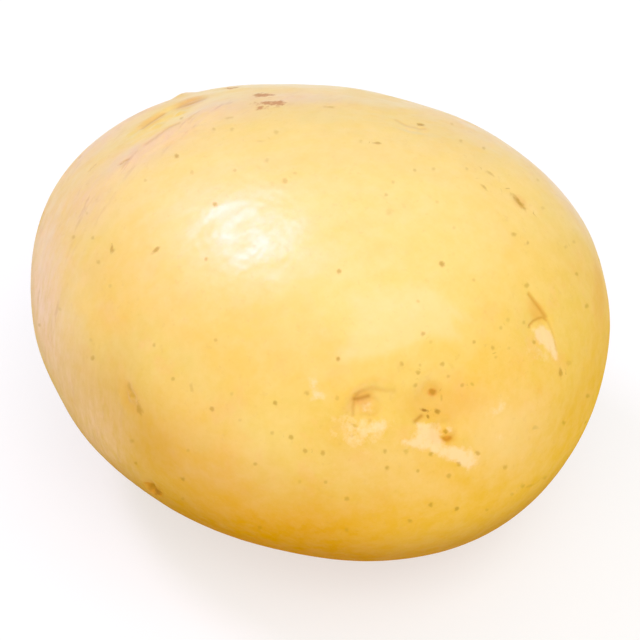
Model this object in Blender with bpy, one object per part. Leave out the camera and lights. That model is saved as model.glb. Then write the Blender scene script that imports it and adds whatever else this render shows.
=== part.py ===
"""A whole potato lying at rest, grown in one piece, so it is one solid.

The long axis runs along X, with the rose end, where most of the eyes are, at +X and the stem scar at -X.
Z is up. The origin is under the middle of the potato, at the height of the small flat spot that it rests on.
"""

import math
from collections import namedtuple

import bmesh
import bpy
import numpy as np

MM = 0.001

# The body: an ellipsoid with slightly full shoulders, wider towards the rose end
LENGTH = 85.0 * MM
WIDTH = 71.0 * MM
THICKNESS = 60.3 * MM
FULLNESS = 2.07  # 2 gives a plain ellipsoid, and more gives fuller shoulders
TAPER = 0.10  # how much wider the rose end is than the middle
REST_DEPTH = 0.6 * MM  # how deep the flat spot is pressed into the underside

# The mesh
FINE_SUBDIVISIONS = 7
KEPT_FACES = 0.128  # the share of the fine faces that the finished solid keeps

SKIN_COLOUR = (0.80, 0.53, 0.16, 1.0)
SKIN_ROUGHNESS = 0.42

# Gentle unevenness all over: waves of a few directions and lengths, in no order
UNEVEN_HEIGHT = 0.10 * MM
UNEVEN_WAVES = 14
UNEVEN_SHORTEST = 9.0 * MM
UNEVEN_LONGEST = 22.0 * MM
UNEVEN_SEED = 4

# Directions are longitude and latitude in degrees, seen from the middle of the body: longitude 0 is the
# rose end, 90 is +Y, 180 is the stem end, and latitude 90 is straight up. Sizes in these tables are in
# millimetres, and turns in degrees.

# Broad rises and flattenings: the height in the middle, and the spread as an angle
Swell = namedtuple("Swell", "longitude latitude height spread")

SWELLS = (
    Swell(-60, -38, -1.50, 26),
    Swell(108, 50, -0.87, 30),
    Swell(-152, 5, -0.77, 26),
    Swell(20, -2, -0.35, 22),
    Swell(-115, -26, 0.27, 26),
    Swell(150, 42, 0.15, 18),
    Swell(128, -30, 0.80, 22),
    Swell(84, -22, -0.70, 17),
    Swell(172, -30, -0.60, 17),
)

# An eye is a hollow with half sizes across the potato and along it. Its brow runs round the stem side: a lip
# outside, and a crease at its foot. The turn spins the whole eye, so that 180 puts the brow on the rose side.
Eye = namedtuple("Eye", "longitude latitude turn across along depth lip crease")

EYES = (
    Eye(-36.0, 22.5, 8, 7.2, 5.6, 1.15, 0.00, 0.00),
    Eye(-35.0, 26.6, 0, 2.0, 1.5, 0.28, 0.12, 0.22),
    Eye(-33.5, 16.6, 20, 2.1, 1.7, 0.30, 0.12, 0.25),
    Eye(-48.3, 25.2, -27, 3.0, 2.3, 0.65, 0.22, 0.45),
    Eye(-5.0, 29.6, -102, 5.0, 2.1, 0.42, 0.06, 0.12),
    Eye(-4.0, 29.0, -39, 1.6, 1.3, 0.12, 0.04, 0.18),
    Eye(179.0, 57.0, -22, 7.4, 3.3, 0.42, 0.10, 0.10),
    Eye(-98.0, 12.2, 24, 1.9, 1.2, 0.20, 0.06, 0.12),
    Eye(-93.4, -17.0, 0, 2.0, 1.3, 0.30, 0.15, 0.35),
    Eye(54.0, 67.8, 117, 2.2, 1.3, 0.16, 0.04, 0.06),
    Eye(22.0, -28.0, -20, 4.6, 3.0, 0.85, 0.34, 0.60),
    Eye(38.0, -4.0, 14, 3.6, 2.4, 0.60, 0.28, 0.50),
    Eye(64.0, -14.0, -8, 5.0, 3.0, 0.70, 0.32, 0.60),
    Eye(98.0, 14.0, 10, 4.6, 2.6, 0.60, 0.30, 0.55),
    Eye(-20.0, -52.0, 16, 4.0, 2.6, 0.60, 0.28, 0.50),
    Eye(118.0, -40.0, -14, 4.4, 2.7, 0.60, 0.28, 0.50),
    Eye(152.0, -2.0, 6, 4.0, 2.4, 0.45, 0.22, 0.45),
)

# Buds are small rimmed domes in an eye, placed from its middle: across it, then towards the rose end
Bud = namedtuple("Bud", "eye across along radius height")

BUDS = (
    Bud(1, 0.0, 0.1, 0.7, 0.20),
    Bud(2, 0.0, 0.1, 1.0, 0.42),
    Bud(3, 0.2, 0.2, 0.9, 0.28),
    Bud(4, 0.2, 0.6, 1.1, 0.10),
    Bud(6, -2.2, 0.2, 1.0, 0.28),
    Bud(6, 1.8, 0.3, 0.9, 0.25),
    Bud(7, 0.0, 0.2, 0.7, 0.16),
    Bud(8, 0.0, 0.2, 0.8, 0.20),
    Bud(9, 0.0, 0.2, 0.8, 0.08),
    Bud(10, -1.3, 0.4, 1.1, 0.45),
    Bud(10, 1.5, 0.8, 1.0, 0.38),
    Bud(11, 0.0, 0.4, 1.1, 0.36),
    Bud(12, -0.4, 0.4, 1.2, 0.42),
    Bud(12, 2.2, 0.6, 0.8, 0.25),
    Bud(13, 0.5, 0.4, 1.1, 0.36),
    Bud(14, 0.0, 0.4, 1.1, 0.36),
    Bud(15, -0.3, 0.4, 1.1, 0.36),
    Bud(16, 0.0, 0.3, 1.0, 0.28),
)

# Folds are raised or sunk lines in the skin, given by their middle, their turn from straight across, half
# their length, and the width and height of their rise
Fold = namedtuple("Fold", "longitude latitude turn half_length width height")

FOLDS = (
    Fold(-164.5, 60.5, -30, 12.0, 2.0, 0.18),
    Fold(156.0, 45.5, 10, 1.6, 1.2, 0.42),
    Fold(-4.0, 26.8, 99, 2.2, 1.1, 0.26),
    Fold(-141.0, 20.0, 12, 7.0, 1.8, -0.12),
    Fold(75.0, 22.0, -35, 8.0, 1.6, 0.14),
    Fold(140.0, -18.0, 25, 7.0, 1.5, -0.14),
)

# The stem scar: a shallow hollow with a raised ring where the runner broke off
SCAR_LONGITUDE = 177
SCAR_LATITUDE = -9
SCAR_HOLLOW = 5.0 * MM
SCAR_DEPTH = 0.90 * MM
SCAR_RING_RADIUS = 1.9 * MM
SCAR_RING_HEIGHT = 0.55 * MM
SCAR_RING_WIDTH = 0.70 * MM

# Widths of the fine forms round an eye
LIP_WIDTH = 1.0 * MM
CREASE_WIDTH = 0.65 * MM
BROW_HALF_ANGLE = 62.0  # how far round the hollow the brow reaches, each way, in degrees
FAR_DEPTH = 20.0 * MM  # skin that lies deeper than this under a form is on another side of the potato
DOME_WIDTH = 0.70  # of a bud, against its radius
GROOVE_SHARE = 0.35  # a bud's groove against its height
GROOVE_PLACE = 1.35  # the groove's radius and width against the bud's radius
GROOVE_WIDTH = 0.45


def clear_scene():
    for thing in list(bpy.data.objects):
        bpy.data.objects.remove(thing, do_unlink=True)


def unit(vectors):
    return vectors / np.linalg.norm(vectors, axis=-1, keepdims=True)


def direction(longitude, latitude):
    around, up = math.radians(longitude), math.radians(latitude)
    return np.array([math.cos(up) * math.cos(around), math.cos(up) * math.sin(around), math.sin(up)])


def bell(distance, width):
    return np.exp(-((distance / width) ** 2))


def unevenness(points):
    draw = np.random.RandomState(UNEVEN_SEED)
    ways = unit(draw.normal(size=(UNEVEN_WAVES, 3)))
    lengths = draw.uniform(UNEVEN_SHORTEST, UNEVEN_LONGEST, UNEVEN_WAVES)
    starts = draw.uniform(0, 2 * math.pi, UNEVEN_WAVES)
    waves = np.cos(points @ (2 * math.pi * ways / lengths[:, None]).T + starts)
    return UNEVEN_HEIGHT * waves.sum(axis=1) / math.sqrt(UNEVEN_WAVES)


def smooth_body(directions):
    """The body without its eyes, as (points, outward directions), for an array of unit directions."""
    half = np.array([LENGTH, WIDTH, THICKNESS]) / 2
    reach = (np.abs(directions) ** FULLNESS).sum(axis=1) ** (-1 / FULLNESS)
    girth = 1 + TAPER * directions[:, 0]
    points = directions * half * reach[:, None]
    points[:, 1] *= girth
    points[:, 2] *= girth
    outward = unit(points / half**2)
    for swell in SWELLS:
        middle = direction(swell.longitude, swell.latitude)
        angle = np.degrees(np.arccos(np.clip(directions @ middle, -1, 1)))
        points += outward * (swell.height * MM * bell(angle, swell.spread))[:, None]
    return points, outward


def places_round(points, longitude, latitude, turn=0.0):
    """Each point's place on the skin round a spot, as (across, towards the rose end), far off on other sides."""
    middle, outward = smooth_body(direction(longitude, latitude)[None])
    middle, outward = middle[0], outward[0]
    to_rose = unit(np.array([1.0, 0.0, 0.0]) - outward * outward[0])
    sideways = np.cross(outward, to_rose)
    spin = math.radians(turn)
    along_axis = math.cos(spin) * to_rose + math.sin(spin) * sideways
    across_axis = math.cos(spin) * sideways - math.sin(spin) * to_rose
    offset = points - middle
    far_side = offset @ outward < -FAR_DEPTH
    across = np.where(far_side, LENGTH, offset @ across_axis)
    along = np.where(far_side, LENGTH, offset @ along_axis)
    return across, along


def eye_height(points, eye):
    across, along = places_round(points, eye.longitude, eye.latitude, eye.turn)
    across_share, along_share = across / (eye.across * MM), along / (eye.along * MM)
    share = np.hypot(across_share, along_share)
    distance = np.hypot(across, along)
    past_brow = distance - distance / np.maximum(share, 0.01)
    from_stem_side = np.degrees(np.arctan2(np.abs(across_share), -along_share))
    reach = np.exp(-((from_stem_side / BROW_HALF_ANGLE) ** 4))
    hollow = eye.depth * bell(share, 1.0)
    lip = eye.lip * bell(past_brow - LIP_WIDTH, LIP_WIDTH)
    crease = eye.crease * bell(past_brow + CREASE_WIDTH / 2, CREASE_WIDTH)
    return MM * (reach * (lip - crease) - hollow)


def bud_height(points, bud):
    eye = EYES[bud.eye]
    across, along = places_round(points, eye.longitude, eye.latitude, eye.turn)
    from_bud = np.hypot(across - bud.across * MM, along - bud.along * MM)
    radius = bud.radius * MM
    dome = bell(from_bud, DOME_WIDTH * radius)
    groove = GROOVE_SHARE * bell(from_bud - GROOVE_PLACE * radius, GROOVE_WIDTH * radius)
    return bud.height * MM * (dome - groove)


def fold_height(points, fold):
    across, along = places_round(points, fold.longitude, fold.latitude, fold.turn)
    taper = np.exp(-((across / (fold.half_length * MM)) ** 4))
    return fold.height * MM * taper * bell(along, fold.width * MM)


def scar_height(points):
    across, along = places_round(points, SCAR_LONGITUDE, SCAR_LATITUDE)
    from_middle = np.hypot(across, along)
    hollow = -SCAR_DEPTH * bell(from_middle, SCAR_HOLLOW)
    ring = SCAR_RING_HEIGHT * bell(from_middle - SCAR_RING_RADIUS, SCAR_RING_WIDTH)
    return hollow + ring


def potato_points(directions):
    points, outward = smooth_body(directions)
    height = unevenness(points) + scar_height(points)
    for eye in EYES:
        height += eye_height(points, eye)
    for bud in BUDS:
        height += bud_height(points, bud)
    for fold in FOLDS:
        height += fold_height(points, fold)
    return points + outward * height[:, None]


def skin_mesh():
    """The fine closed skin, centred over the origin, with its lowest point REST_DEPTH below it."""
    shape = bmesh.new()
    bmesh.ops.create_icosphere(shape, subdivisions=FINE_SUBDIVISIONS, radius=1.0)
    directions = unit(np.array([vertex.co for vertex in shape.verts]))
    points = potato_points(directions)
    low, high = points.min(axis=0), points.max(axis=0)
    points -= ((low[0] + high[0]) / 2, (low[1] + high[1]) / 2, low[2] + REST_DEPTH)
    for vertex, point in zip(shape.verts, points):
        vertex.co = point
    mesh = bpy.data.meshes.new("potato")
    shape.to_mesh(mesh)
    shape.free()
    return mesh


def thinned(mesh):
    """The same skin with fewer faces: small ones where it curves tightly, and large ones where it is even."""
    helper = bpy.data.objects.new("fine_skin", mesh)
    bpy.context.scene.collection.objects.link(helper)
    fewer = helper.modifiers.new("Fewer faces", "DECIMATE")
    fewer.ratio = KEPT_FACES
    graph = bpy.context.evaluated_depsgraph_get()
    result = bpy.data.meshes.new_from_object(helper.evaluated_get(graph))
    bpy.data.objects.remove(helper, do_unlink=True)
    return result


def cut_rest_spot(mesh):
    """Cuts the underside off level with the origin and closes it with one flat face."""
    shape = bmesh.new()
    shape.from_mesh(mesh)
    everything = shape.verts[:] + shape.edges[:] + shape.faces[:]
    cut = bmesh.ops.bisect_plane(
        shape, geom=everything, dist=1e-7, plane_co=(0, 0, 0), plane_no=(0, 0, 1), clear_inner=True
    )
    rim = [edge for edge in cut["geom_cut"] if isinstance(edge, bmesh.types.BMEdge)]
    bmesh.ops.holes_fill(shape, edges=rim, sides=0)
    bmesh.ops.recalc_face_normals(shape, faces=shape.faces[:])
    shape.to_mesh(mesh)
    shape.free()


def skin_material():
    material = bpy.data.materials.new("potato_skin")
    material.use_nodes = True
    surface = material.node_tree.nodes["Principled BSDF"]
    surface.inputs["Base Color"].default_value = SKIN_COLOUR
    surface.inputs["Roughness"].default_value = SKIN_ROUGHNESS
    surface.inputs["Metallic"].default_value = 0.0
    return material


def add_potato():
    mesh = thinned(skin_mesh())
    cut_rest_spot(mesh)
    mesh.shade_smooth()
    mesh.materials.clear()
    mesh.materials.append(skin_material())
    potato = bpy.data.objects.new("potato", mesh)
    bpy.context.scene.collection.objects.link(potato)
    return potato


def main():
    clear_scene()
    add_potato()


main()
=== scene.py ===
"""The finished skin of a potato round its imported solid, with a studio and a camera.

The shape's formula and its tables are those of the solid, so the skin lies where the solid does, and finer
relief is added to it. Lengths are in metres unless a comment says otherwise.
"""

import math
from collections import namedtuple

import bmesh
import bpy
import numpy as np
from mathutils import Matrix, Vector
from mathutils.bvhtree import BVHTree
from mathutils.kdtree import KDTree

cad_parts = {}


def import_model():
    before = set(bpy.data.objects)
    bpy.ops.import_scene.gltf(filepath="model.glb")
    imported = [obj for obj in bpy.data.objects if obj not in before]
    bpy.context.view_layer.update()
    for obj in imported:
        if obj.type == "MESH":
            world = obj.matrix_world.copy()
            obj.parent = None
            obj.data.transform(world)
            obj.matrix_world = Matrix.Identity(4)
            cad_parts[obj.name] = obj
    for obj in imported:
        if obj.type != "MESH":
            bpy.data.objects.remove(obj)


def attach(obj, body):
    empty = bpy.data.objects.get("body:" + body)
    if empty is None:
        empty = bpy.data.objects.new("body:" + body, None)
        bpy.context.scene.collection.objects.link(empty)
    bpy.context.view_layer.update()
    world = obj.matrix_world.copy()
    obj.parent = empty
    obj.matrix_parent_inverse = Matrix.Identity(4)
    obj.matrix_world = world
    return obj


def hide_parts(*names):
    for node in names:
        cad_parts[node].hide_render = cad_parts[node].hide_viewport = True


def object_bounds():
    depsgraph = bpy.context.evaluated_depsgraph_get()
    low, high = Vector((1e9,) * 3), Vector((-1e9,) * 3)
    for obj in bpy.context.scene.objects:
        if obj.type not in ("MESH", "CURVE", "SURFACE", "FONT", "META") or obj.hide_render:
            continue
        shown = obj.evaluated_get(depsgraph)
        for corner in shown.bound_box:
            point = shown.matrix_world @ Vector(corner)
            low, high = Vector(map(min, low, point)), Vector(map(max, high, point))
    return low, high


MM = 0.001

# The body: an ellipsoid with slightly full shoulders, wider towards the rose end
LENGTH = 85.0 * MM
WIDTH = 71.0 * MM
THICKNESS = 60.3 * MM
FULLNESS = 2.07  # 2 gives a plain ellipsoid, and more gives fuller shoulders
TAPER = 0.10  # how much wider the rose end is than the middle
REST_DEPTH = 0.6 * MM  # how deep the flat spot is pressed into the underside

# Gentle unevenness all over: waves of a few directions and lengths, in no order
UNEVEN_HEIGHT = 0.10 * MM
UNEVEN_WAVES = 14
UNEVEN_SHORTEST = 9.0 * MM
UNEVEN_LONGEST = 22.0 * MM
UNEVEN_SEED = 4

# Directions are longitude and latitude in degrees, seen from the middle of the body: longitude 0 is the
# rose end, 90 is +Y, 180 is the stem end, and latitude 90 is straight up. Sizes in these tables are in
# millimetres, and turns in degrees.

# Broad rises and flattenings: the height in the middle, and the spread as an angle
Swell = namedtuple("Swell", "longitude latitude height spread")

SWELLS = (
    Swell(-60, -38, -1.50, 26),
    Swell(108, 50, -0.87, 30),
    Swell(-152, 5, -0.77, 26),
    Swell(20, -2, -0.35, 22),
    Swell(-115, -26, 0.27, 26),
    Swell(150, 42, 0.15, 18),
    Swell(128, -30, 0.80, 22),
    Swell(84, -22, -0.70, 17),
    Swell(172, -30, -0.60, 17),
)

# An eye is a hollow with half sizes across the potato and along it. Its brow runs round the stem side: a
# lip outside, and a crease at its foot. The turn spins the whole eye: 180 puts the brow on the rose side.
Eye = namedtuple("Eye", "longitude latitude turn across along depth lip crease")

EYES = (
    Eye(-36.0, 22.5, 8, 7.2, 5.6, 1.15, 0.00, 0.00),
    Eye(-35.0, 26.6, 0, 2.0, 1.5, 0.28, 0.12, 0.22),
    Eye(-33.5, 16.6, 20, 2.1, 1.7, 0.30, 0.12, 0.25),
    Eye(-48.3, 25.2, -27, 3.0, 2.3, 0.65, 0.22, 0.45),
    Eye(-5.0, 29.6, -102, 5.0, 2.1, 0.42, 0.06, 0.12),
    Eye(-4.0, 29.0, -39, 1.6, 1.3, 0.12, 0.04, 0.18),
    Eye(179.0, 57.0, -22, 7.4, 3.3, 0.42, 0.10, 0.10),
    Eye(-98.0, 12.2, 24, 1.9, 1.2, 0.20, 0.06, 0.12),
    Eye(-93.4, -17.0, 0, 2.0, 1.3, 0.30, 0.15, 0.35),
    Eye(54.0, 67.8, 117, 2.2, 1.3, 0.16, 0.04, 0.06),
    Eye(22.0, -28.0, -20, 4.6, 3.0, 0.85, 0.34, 0.60),
    Eye(38.0, -4.0, 14, 3.6, 2.4, 0.60, 0.28, 0.50),
    Eye(64.0, -14.0, -8, 5.0, 3.0, 0.70, 0.32, 0.60),
    Eye(98.0, 14.0, 10, 4.6, 2.6, 0.60, 0.30, 0.55),
    Eye(-20.0, -52.0, 16, 4.0, 2.6, 0.60, 0.28, 0.50),
    Eye(118.0, -40.0, -14, 4.4, 2.7, 0.60, 0.28, 0.50),
    Eye(152.0, -2.0, 6, 4.0, 2.4, 0.45, 0.22, 0.45),
)

# Buds are small rimmed domes in an eye, placed from its middle: across it, then towards the rose end
Bud = namedtuple("Bud", "eye across along radius height")

BUDS = (
    Bud(1, 0.0, 0.1, 0.7, 0.20),
    Bud(2, 0.0, 0.1, 1.0, 0.42),
    Bud(3, 0.2, 0.2, 0.9, 0.28),
    Bud(4, 0.2, 0.6, 1.1, 0.10),
    Bud(6, -2.2, 0.2, 1.0, 0.28),
    Bud(6, 1.8, 0.3, 0.9, 0.25),
    Bud(7, 0.0, 0.2, 0.7, 0.16),
    Bud(8, 0.0, 0.2, 0.8, 0.20),
    Bud(9, 0.0, 0.2, 0.8, 0.08),
    Bud(10, -1.3, 0.4, 1.1, 0.45),
    Bud(10, 1.5, 0.8, 1.0, 0.38),
    Bud(11, 0.0, 0.4, 1.1, 0.36),
    Bud(12, -0.4, 0.4, 1.2, 0.42),
    Bud(12, 2.2, 0.6, 0.8, 0.25),
    Bud(13, 0.5, 0.4, 1.1, 0.36),
    Bud(14, 0.0, 0.4, 1.1, 0.36),
    Bud(15, -0.3, 0.4, 1.1, 0.36),
    Bud(16, 0.0, 0.3, 1.0, 0.28),
)

# Folds are raised or sunk lines in the skin, given by their middle, their turn from straight across, half
# their length, and the width and height of their rise
Fold = namedtuple("Fold", "longitude latitude turn half_length width height")

FOLDS = (
    Fold(-164.5, 60.5, -30, 12.0, 2.0, 0.18),
    Fold(156.0, 45.5, 10, 1.6, 1.2, 0.42),
    Fold(-4.0, 26.8, 99, 2.2, 1.1, 0.26),
    Fold(-141.0, 20.0, 12, 7.0, 1.8, -0.12),
    Fold(75.0, 22.0, -35, 8.0, 1.6, 0.14),
    Fold(140.0, -18.0, 25, 7.0, 1.5, -0.14),
)

# The stem scar: a shallow hollow with a raised ring where the runner broke off
SCAR_LONGITUDE = 177
SCAR_LATITUDE = -9
SCAR_HOLLOW = 5.0 * MM
SCAR_DEPTH = 0.90 * MM
SCAR_RING_RADIUS = 1.9 * MM
SCAR_RING_HEIGHT = 0.55 * MM
SCAR_RING_WIDTH = 0.70 * MM

# Widths of the fine forms round an eye
LIP_WIDTH = 1.0 * MM
CREASE_WIDTH = 0.65 * MM
BROW_HALF_ANGLE = 62.0  # how far round the hollow the brow reaches, each way, in degrees
FAR_DEPTH = 20.0 * MM  # skin that lies deeper than this under a form is on another side of the potato
DOME_WIDTH = 0.70  # of a bud, against its radius
GROOVE_SHARE = 0.35  # a bud's groove against its height
GROOVE_PLACE = 1.35  # the groove's radius and width against the bud's radius
GROOVE_WIDTH = 0.45

# The camera: where the photograph was taken from, round the middle of the body
IMAGE_SIDE = 640
CAMERA_AZIMUTH = 33.0
CAMERA_ELEVATION = 40.0
CAMERA_DISTANCE = 372.45 * MM
CAMERA_ASIDE = 1.53 * MM
CAMERA_RAISED = -1.34 * MM
LENS = 150.0  # in millimetres, on a sensor of 36
SENSOR = 36.0

# The fine mesh, and how near to each form its faces are split smaller
FINE_SUBDIVISIONS = 7
SHINE_REACH = 1.2 * MM
CLOSE_SHINE_REACH = 0.9 * MM
SPECK_REACH = 0.9 * MM
EYE_REACH = 1.2 * MM
LINE_REACH = 0.9 * MM
FINE_ZONE_REACH = 0.8 * MM
EYE_SPREAD = 1.25  # how far round an eye the fine mesh runs, as a share of the eye's half sizes
EYE_STEPS = 5
ZONE_STEPS = 15
LINE_STEPS = 4

# Marks: near the rim they are drawn out in depth no more than this share of facing allows
LEAST_FACING = 0.3
SPECK_FADE = 3.2  # in a lenticel's half sizes: from here out it has no strength
OVAL_EDGE = 4.0  # the larger, the sharper an oval's outline
# The ovals of the painted rim sheen fade out more softly
RIM_SHEEN_EDGE = 2.2
SCUFF_EDGE = 2.4
OVAL_DEPTH = LENGTH / 8  # an oval marks no skin that lies higher or lower than this

# Lenticels seen in the photograph: x, y, size in pixels of the 640 frame, and strength
PHOTO_SPECKS = (
    (177, 156, 5, 0.9), (215, 204, 5, 0.8), (285, 181, 6, 0.5), (112, 250, 6, 0.9), (93, 238, 4, 0.5),
    (73, 237, 4, 0.5), (98, 262, 5, 0.5), (206, 259, 4, 0.6), (60, 309, 4, 0.3), (39, 325, 4, 0.5),
    (93, 358, 5, 0.7), (154, 345, 4, 0.6), (216, 340, 4, 0.5), (173, 379, 4, 0.6), (338, 359, 5, 1.0),
    (232, 394, 4, 0.3), (275, 403, 5, 0.9), (212, 409, 5, 0.8), (291, 437, 5, 0.8), (305, 451, 5, 0.7),
    (323, 453, 5, 0.7), (272, 433, 4, 0.5), (255, 464, 5, 0.7), (183, 479, 5, 0.8), (188, 450, 4, 0.4),
    (136, 463, 4, 0.6), (183, 499, 4, 0.5), (260, 528, 5, 0.6), (307, 393, 5, 0.6), (91, 340, 4, 0.3),
    (181, 118, 5, 0.6), (461, 141, 4, 0.5), (484, 148, 4, 0.5), (452, 124, 4, 0.3), (415, 170, 4, 0.5),
    (514, 234, 5, 0.7), (528, 243, 4, 0.6), (543, 208, 4, 0.3), (393, 182, 4, 0.4), (386, 195, 4, 0.5),
    (390, 212, 8, 0.3), (442, 264, 6, 1.0), (339, 271, 5, 0.8), (577, 274, 4, 0.6), (587, 306, 5, 0.6),
    (574, 242, 4, 0.3), (566, 247, 4, 0.3), (588, 396, 5, 0.6), (564, 423, 5, 0.6), (537, 428, 4, 0.3),
    (474, 280, 4, 0.4), (474, 342, 4, 0.7), (493, 348, 5, 0.6), (509, 348, 4, 0.3), (431, 342, 4, 0.3),
    (418, 301, 4, 0.4), (423, 334, 5, 0.7), (442, 364, 5, 0.7), (402, 364, 5, 0.6), (418, 373, 5, 0.7),
    (415, 385, 5, 0.6), (448, 376, 4, 0.5), (462, 385, 4, 0.6), (472, 384, 4, 0.5), (508, 320, 4, 0.3),
    (524, 322, 4, 0.4), (385, 451, 5, 0.7), (387, 468, 5, 0.8), (406, 451, 5, 0.4), (431, 454, 5, 0.7),
    (478, 453, 5, 0.7), (459, 464, 5, 0.6), (449, 476, 5, 0.6), (418, 471, 4, 0.6), (347, 499, 5, 0.6),
    (431, 505, 5, 0.8), (457, 509, 5, 0.9), (410, 521, 5, 0.6), (505, 467, 5, 0.6), (347, 530, 5, 0.4),
    (326, 482, 4, 0.6), (337, 398, 5, 0.4), (192, 172, 5, 0.4), (235, 170, 4, 0.4), (267, 160, 5, 0.4),
    (295, 173, 4, 0.3), (214, 129, 4, 0.5), (232, 129, 4, 0.4), (276, 132, 5, 0.4), (361, 141, 4, 0.3),
    (145, 180, 4, 0.4), (87, 213, 4, 0.3), (437, 202, 4, 0.3), (434, 169, 4, 0.4), (467, 169, 4, 0.4),
    (454, 228, 4, 0.3), (538, 180, 4, 0.3), (569, 363, 6, 0.3), (523, 486, 5, 0.5), (545, 478, 5, 0.5),
    (512, 494, 4, 0.4), (487, 510, 4, 0.4), (535, 428, 5, 0.4), (501, 328, 4, 0.4), (496, 357, 4, 0.4),
    (420, 365, 4, 0.4), (110, 286, 4, 0.3), (132, 441, 5, 0.5), (352, 436, 4, 0.3), (529, 327, 4, 0.5),
    (534, 342, 4, 0.6), (527, 285, 5, 0.6), (240, 420, 4, 0.3), (300, 482, 4, 0.3), (370, 420, 4, 0.3),
)

# Longer lenticels and nicks: both ends and the width in pixels, and strength
PHOTO_DASHES = (
    (153, 253, 159, 247, 4, 1.0), (513, 195, 525, 209, 5, 1.0), (487, 171, 494, 176, 3, 0.6),
    (481, 184, 487, 190, 3, 0.7), (373, 143, 381, 143, 3, 0.9), (325, 107, 335, 107, 3, 0.5),
    (561, 369, 561, 377, 4, 0.9), (525, 487, 535, 485, 3, 0.4), (226, 118, 233, 117, 3, 0.4),
    (257, 141, 264, 141, 3, 0.3), (111, 246, 112, 254, 4, 0.9), (191, 383, 192, 392, 4, 0.4),
    (441, 395, 441, 401, 3, 0.5), (350, 423, 357, 427, 3, 0.4), (421, 409, 427, 411, 3.5, 1.4),
    (435, 410, 439, 412, 5, 1.15), (427, 415, 428, 418, 3, 1.2), (444, 431, 446, 432, 4.5, 0.95),
    (418, 124, 424, 125, 3, 1.2), (430, 392, 434, 391, 7, 0.85), (138, 406, 141, 413, 8, 0.7),
    (129, 384, 130, 391, 5, 0.5), (131, 394, 134, 397, 6, 0.5), (150, 485, 156, 488, 4, 1.1),
    (157, 489, 160, 493, 6, 1.35),
)

# Lines in the skin at the eyes: their points and width in pixels, the groove's depth in millimetres, and how
# brown they are
Line = namedtuple("Line", "points width depth brown")

PHOTO_LINES = (
    Line(((355, 399), (361, 398), (368, 396)), 5.0, 0.08, 0.75),
    Line(((353, 415), (353, 407), (355, 399), (358, 395)), 4.0, 0.06, 0.35),
    Line(((357, 394), (363, 391), (373, 389), (384, 390), (394, 391)), 6.0, 0.03, 0.20),
    Line(((529, 294), (535, 302), (541, 310), (546, 317)), 4.0, 0.10, 0.52),
    Line(((546, 317), (552, 329), (555, 340), (557, 350)), 3.0, 0.08, 0.25),
    Line(((529, 325), (533, 321), (538, 318), (543, 317), (547, 320)), 2.6, 0.08, 0.50),
    Line(((143, 128), (151, 122), (163, 114)), 5.0, 0.08, 0.40),
    Line(((180, 107), (190, 104), (204, 99)), 9.0, 0.08, 0.35),
    Line(((120, 164), (128, 159)), 3.0, 0.10, 0.70),
    Line(((146, 144), (156, 137), (168, 128), (179, 123)), 4.0, 0.06, 0.35),
    Line(((188, 118), (197, 113), (208, 107)), 5.0, -0.05, 0.0),
    Line(((150, 152), (166, 141), (182, 133), (200, 126)), 5.0, -0.05, 0.0),
    Line(((89, 171), (96, 164)), 2.2, 0.06, 0.40),
    Line(((129, 384), (130, 390), (134, 400), (139, 412)), 8.0, 0.03, 0.12),
    Line(((147, 483), (153, 486), (158, 490), (160, 494)), 5.0, 0.10, 0.8),
    Line(((396, 120), (403, 124), (411, 127), (420, 129), (425, 129)), 4.5, 0.03, 0.25),
    Line(((415, 421), (421, 416)), 4.6, 0.10, 0.65),
    Line(((443, 438), (446, 440), (450, 438)), 4.5, 0.06, 0.6),
)

# The ovals in the next tables are given by x, y, half width, half height, lean in degrees, and strength

# Rough brown scuffs
PHOTO_SCUFFS = (
    (263, 95, 13, 3.0, 0, 0.9), (272, 103, 15, 3.6, 0, 0.85), (282, 103, 5, 2.6, 0, 0.9),
    (262, 108, 8, 2.2, 0, 0.7), (232, 88, 10, 1.8, 0, 0.9),
)

# Soft orange: the buds' own stains, and painted shade in the hollows, under the buds and along the right rim
PHOTO_STAINS_AND_SHADE = (
    (432, 392, 6, 5, 0, 1.0), (432, 390, 14, 11, 0, 0.35), (447, 438, 5, 4, 0, 0.9),
    (447, 436, 9, 8, 0, 0.35), (363, 398, 14, 8, 0, 0.40), (536, 310, 13, 7, -52, 0.4),
    (424, 412, 14, 10, 0, 0.3), (520, 202, 9, 6, -45, 0.4), (155, 489, 9, 4, -35, 0.45),
    (600, 290, 7, 34, 0, 0.25), (132, 398, 9, 20, 25, 0.18), (200, 462, 80, 30, -15, 0.12),
    (440, 402, 44, 20, 0, 0.26), (191, 102, 16, 5, 15, 0.55), (152, 121, 16, 4, 32, 0.35),
)

# Painted sheen: the pinkish pale reflection at the left, top and upper right rims, on the lower left flank
# and on the ridge near the stem end
PHOTO_RIM_SHEEN = (
    (97, 143, 52, 10, 43, 0.9), (150, 142, 80, 16, 31, 1.0), (130, 118, 60, 8, 33, 0.8),
    (215, 108, 50, 13, 10, 0.8), (85, 200, 40, 22, 50, 0.8), (42, 290, 24, 95, 4, 1.0),
    (92, 424, 60, 30, -54, 0.62), (290, 98, 60, 10, 0, 0.7), (66, 380, 26, 60, 20, 0.5),
    (560, 190, 56, 14, -50, 0.7), (480, 130, 60, 14, -25, 0.4),
)

# Painted light: the lit wall of the trough near the stem end, clear bright yellow and without the painted
# sheen
PHOTO_LIT_TROUGH = ((162, 124, 38, 10, 30, 1.0),)

# Wrinkled skin, seen in the two shines: the upper one, then the lower one
PHOTO_WRINKLES = ((246, 236, 56, 58, 0, 1.0), (400, 326, 60, 40, 0, 0.35))

# Ground with the finest marks, where the mesh is finest: x, y, half width, half height
PHOTO_FINE_ZONES = ((364, 410, 34, 32), (442, 432, 42, 44))

# Patches: their corners and the width that their edge fades over, both in pixels, and their strength
Patch = namedtuple("Patch", "corners edge strength")
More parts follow.
